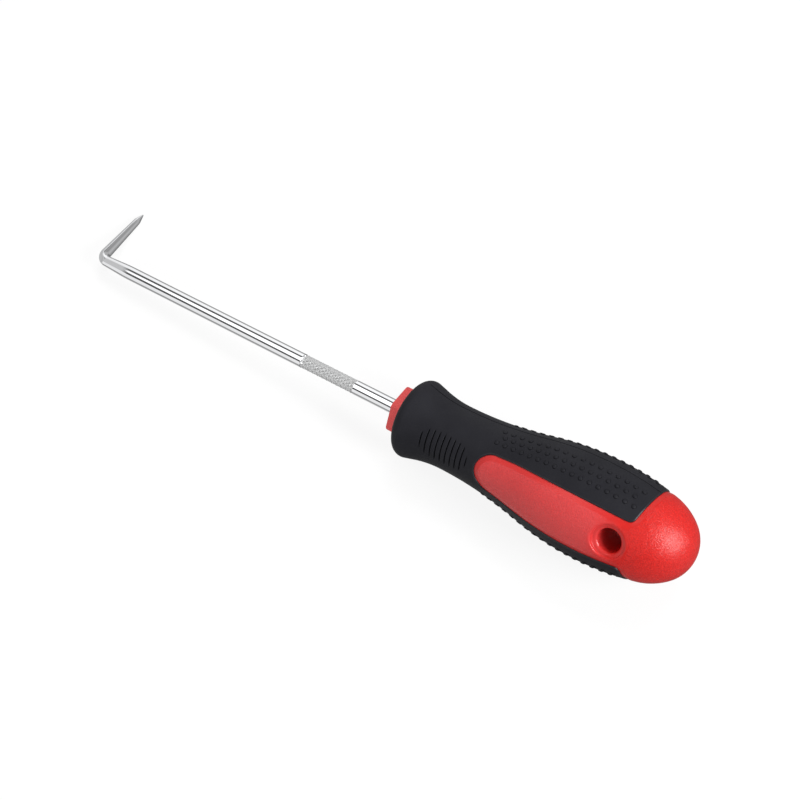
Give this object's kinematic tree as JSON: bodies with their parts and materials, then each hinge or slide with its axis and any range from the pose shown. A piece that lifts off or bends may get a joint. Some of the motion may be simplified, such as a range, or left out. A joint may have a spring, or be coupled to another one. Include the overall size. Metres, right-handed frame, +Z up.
{
  "type": "o ring pick",
  "caption": "Long O-ring pick with a square-bent pointed steel tip, a knurled plated shaft and a two-colour handle with a hanging hole.",
  "frame": {"origin": "middle of the footprint, on the surface that the tool lies on", "axes": "+X along the tool from the pick to the butt, +Y the way the bent arm points, +Z up from the surface"},
  "size_m": [0.2456, 0.0407, 0.0347],
  "materials": {
    "plated_steel": "bright chrome plate, frosted on the knurl",
    "red_plastic": "fine-grained hard plastic with a soft sheen",
    "black_grip": "matt soft rubber"
  },
  "bodies": {
    "root": {"pick_shaft": "plated_steel", "handle_core": "red_plastic", "grip_sleeve": "black_grip"}
  },
  "joints": []
}
